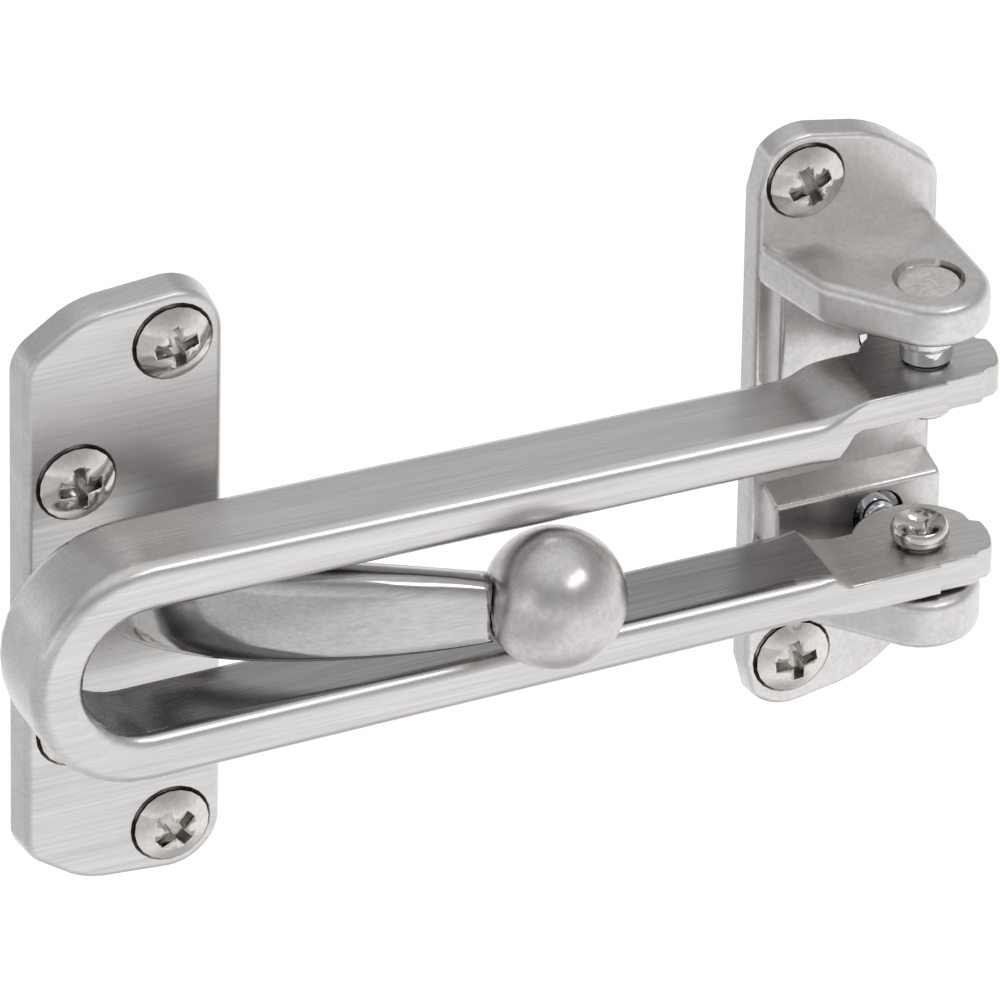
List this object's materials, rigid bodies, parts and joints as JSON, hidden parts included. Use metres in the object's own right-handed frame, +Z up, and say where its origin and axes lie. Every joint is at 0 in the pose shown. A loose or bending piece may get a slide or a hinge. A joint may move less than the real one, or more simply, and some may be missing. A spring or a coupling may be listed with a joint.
{
  "type": "swing bar door guard",
  "caption": "Swing-bar door guard: a hinged loop on a jamb bracket with spring detents, and a screwed door plate whose curved arm ends in a ball that rides in the loop.",
  "frame": {"origin": "on the jamb bracket's flat back, level with the middle of the swing bar", "axes": "+X along the bar from the door plate to the hinge, +Y into the wall, +Z up"},
  "size_m": [0.1084, 0.0363, 0.0719],
  "materials": {
    "satin_nickel": "satin",
    "chrome": "polished",
    "polished_steel": "polished",
    "spring_steel": "bright"
  },
  "bodies": {
    "jamb_side": {"jamb_bracket": "satin_nickel", "upper_hinge_pin": "polished_steel", "lower_hinge_pin": "polished_steel", "narrow_spacer_collar": "chrome", "wide_spacer_collar": "chrome", "upper_plunger_spring": "spring_steel", "lower_plunger_spring": "spring_steel", "upper_bracket_screw": "polished_steel", "lower_bracket_screw": "polished_steel"},
    "bar": {"swing_bar": "satin_nickel"},
    "door_side": {"door_plate": "satin_nickel", "ball_tip": "satin_nickel", "top_door_screw": "polished_steel", "bottom_door_screw": "polished_steel", "upper_door_screw": "polished_steel", "lower_door_screw": "polished_steel"},
    "upper_plunger": {"upper_detent_plunger": "chrome"},
    "lower_plunger": {"lower_detent_plunger": "chrome"}
  },
  "joints": [
    {"name": "bar_swing", "type": "hinge", "parent": "jamb_side", "child": "bar", "pos_m": [0.003, -0.015, 0], "axis": [0, 0, 1], "range_deg": [0, 180]},
    {"name": "door_plate_travel", "type": "slide", "parent": "bar", "child": "door_side", "axis": [1, 0, 0], "range_m": [-0.006, 0.03]},
    {"name": "upper_plunger_press", "type": "slide", "parent": "jamb_side", "child": "upper_plunger", "axis": [0, 1, 0], "range_m": [0, 0.0008], "stiffness_N_per_m": 300, "deforming": ["upper_plunger_spring"]},
    {"name": "lower_plunger_press", "type": "slide", "parent": "jamb_side", "child": "lower_plunger", "axis": [0, 1, 0], "range_m": [0, 0.0008], "stiffness_N_per_m": 300, "deforming": ["lower_plunger_spring"]}
  ]
}
